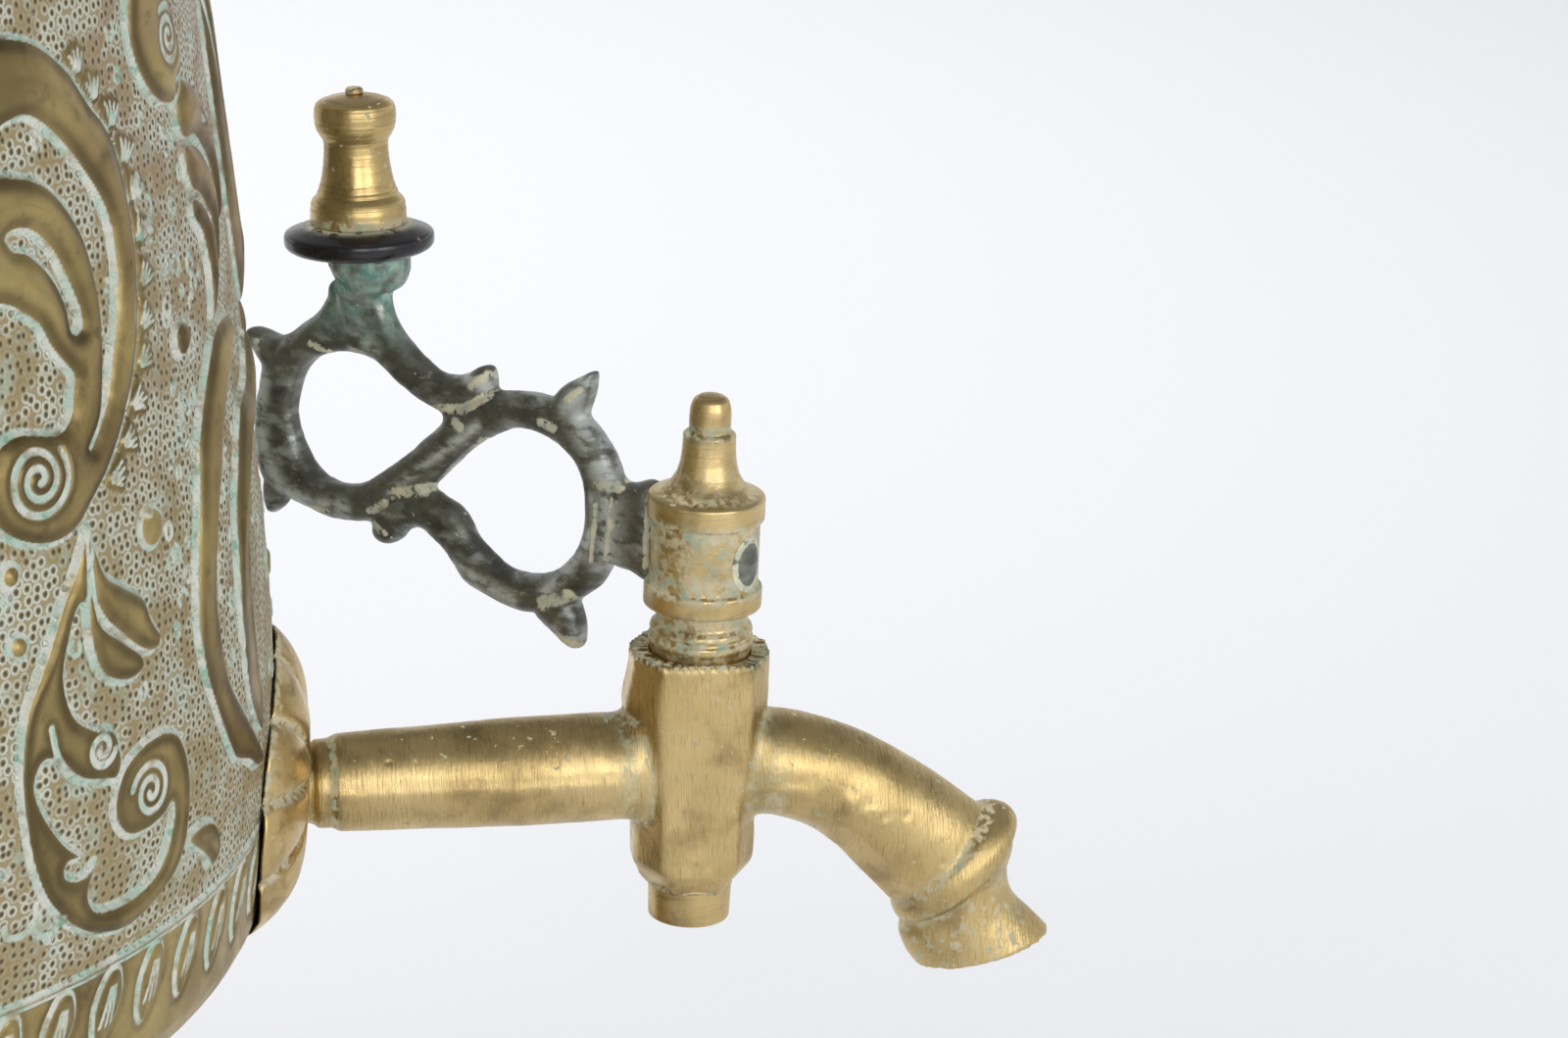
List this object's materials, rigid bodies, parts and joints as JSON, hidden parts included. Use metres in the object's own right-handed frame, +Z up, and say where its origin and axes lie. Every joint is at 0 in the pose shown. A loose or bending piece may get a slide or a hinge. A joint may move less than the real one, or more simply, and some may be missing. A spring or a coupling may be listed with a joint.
{
  "type": "samovar",
  "caption": "Charcoal-heated brass samovar: bellied water tank on a footed plinth, chimney through a lid, side grips, and a front tap with a scrolled key.",
  "frame": {"origin": "on the table, midway between the four feet and on the axis of the fire tube", "axes": "+Z up the fire tube, -Y out along the tap, +X to the right-hand grip as the tap points at you"},
  "size_m": [0.2686, 0.3083, 0.3736],
  "materials": {
    "body_brass": "chased and matted, aged, patinated",
    "pedestal_brass": "spun sheet, aged",
    "cast_brass": "cast and filed, worn",
    "turned_brass": "turned, fine tool lines",
    "key_bronze": "dark patinated casting",
    "black_disc": "gloss black",
    "black_wood": "black lacquered, turned",
    "tinned_copper": "tinned, dull",
    "grate_iron": "sooty casting",
    "gasket_leather": "oiled"
  },
  "bodies": {
    "samovar_body": {"plinth": "cast_brass", "bun_feet": "cast_brass", "pedestal": "pedestal_brass", "pedestal_base_ring": "turned_brass", "pedestal_cap_ring": "turned_brass", "pedestal_screws": "turned_brass", "tank_shell": "body_brass", "tank_shoulder": "body_brass", "tank_floor": "tinned_copper", "floor_seam_ring": "tinned_copper", "fire_tube": "tinned_copper", "grate_ledge": "grate_iron", "grate": "grate_iron", "shoulder_ring": "turned_brass", "right_handle_bracket": "cast_brass", "left_handle_bracket": "cast_brass", "right_handle_grip": "black_wood", "left_handle_grip": "black_wood", "handle_rods": "turned_brass", "handle_rod_nuts": "turned_brass", "handle_rivets": "turned_brass", "tap_body": "cast_brass", "tap_rosette": "cast_brass", "tap_gasket": "gasket_leather", "tap_back_nut": "turned_brass"},
    "tap_key": {"tap_plug": "turned_brass", "key_handle": "key_bronze", "key_disc": "black_disc", "key_knob": "turned_brass", "key_stud": "turned_brass"},
    "lid_body": {"lid": "pedestal_brass", "lid_knob_discs": "black_disc", "lid_knobs": "turned_brass", "lid_knob_studs": "turned_brass", "vent_seat": "turned_brass"},
    "vent_body": {"vent_shutter": "turned_brass"},
    "crown_body": {"crown_seat": "pedestal_brass", "crown_ring": "turned_brass", "crown_struts": "cast_brass"},
    "damper_body": {"damper_cap": "pedestal_brass", "damper_disc": "black_disc", "damper_knob": "turned_brass", "damper_stud": "turned_brass"}
  },
  "joints": [
    {"name": "tap_key_turn", "type": "hinge", "parent": "samovar_body", "child": "tap_key", "pos_m": [0, -0.1576, 0.1122], "axis": [0, -0.0489, 0.9988], "range_deg": [-268, 8]},
    {"name": "lid_lift", "type": "slide", "parent": "samovar_body", "child": "lid_body", "axis": [0, 0, 1], "range_m": [0, 0.06]},
    {"name": "vent_turn", "type": "hinge", "parent": "lid_body", "child": "vent_body", "pos_m": [0, -0.052, 0.33], "axis": [0, 0, 1], "range_deg": [-90, 90]},
    {"name": "crown_lift", "type": "slide", "parent": "lid_body", "child": "crown_body", "axis": [0, 0, 1], "range_m": [0, 0.06]},
    {"name": "damper_lift", "type": "slide", "parent": "crown_body", "child": "damper_body", "axis": [0, 0, 1], "range_m": [0, 0.06]}
  ]
}
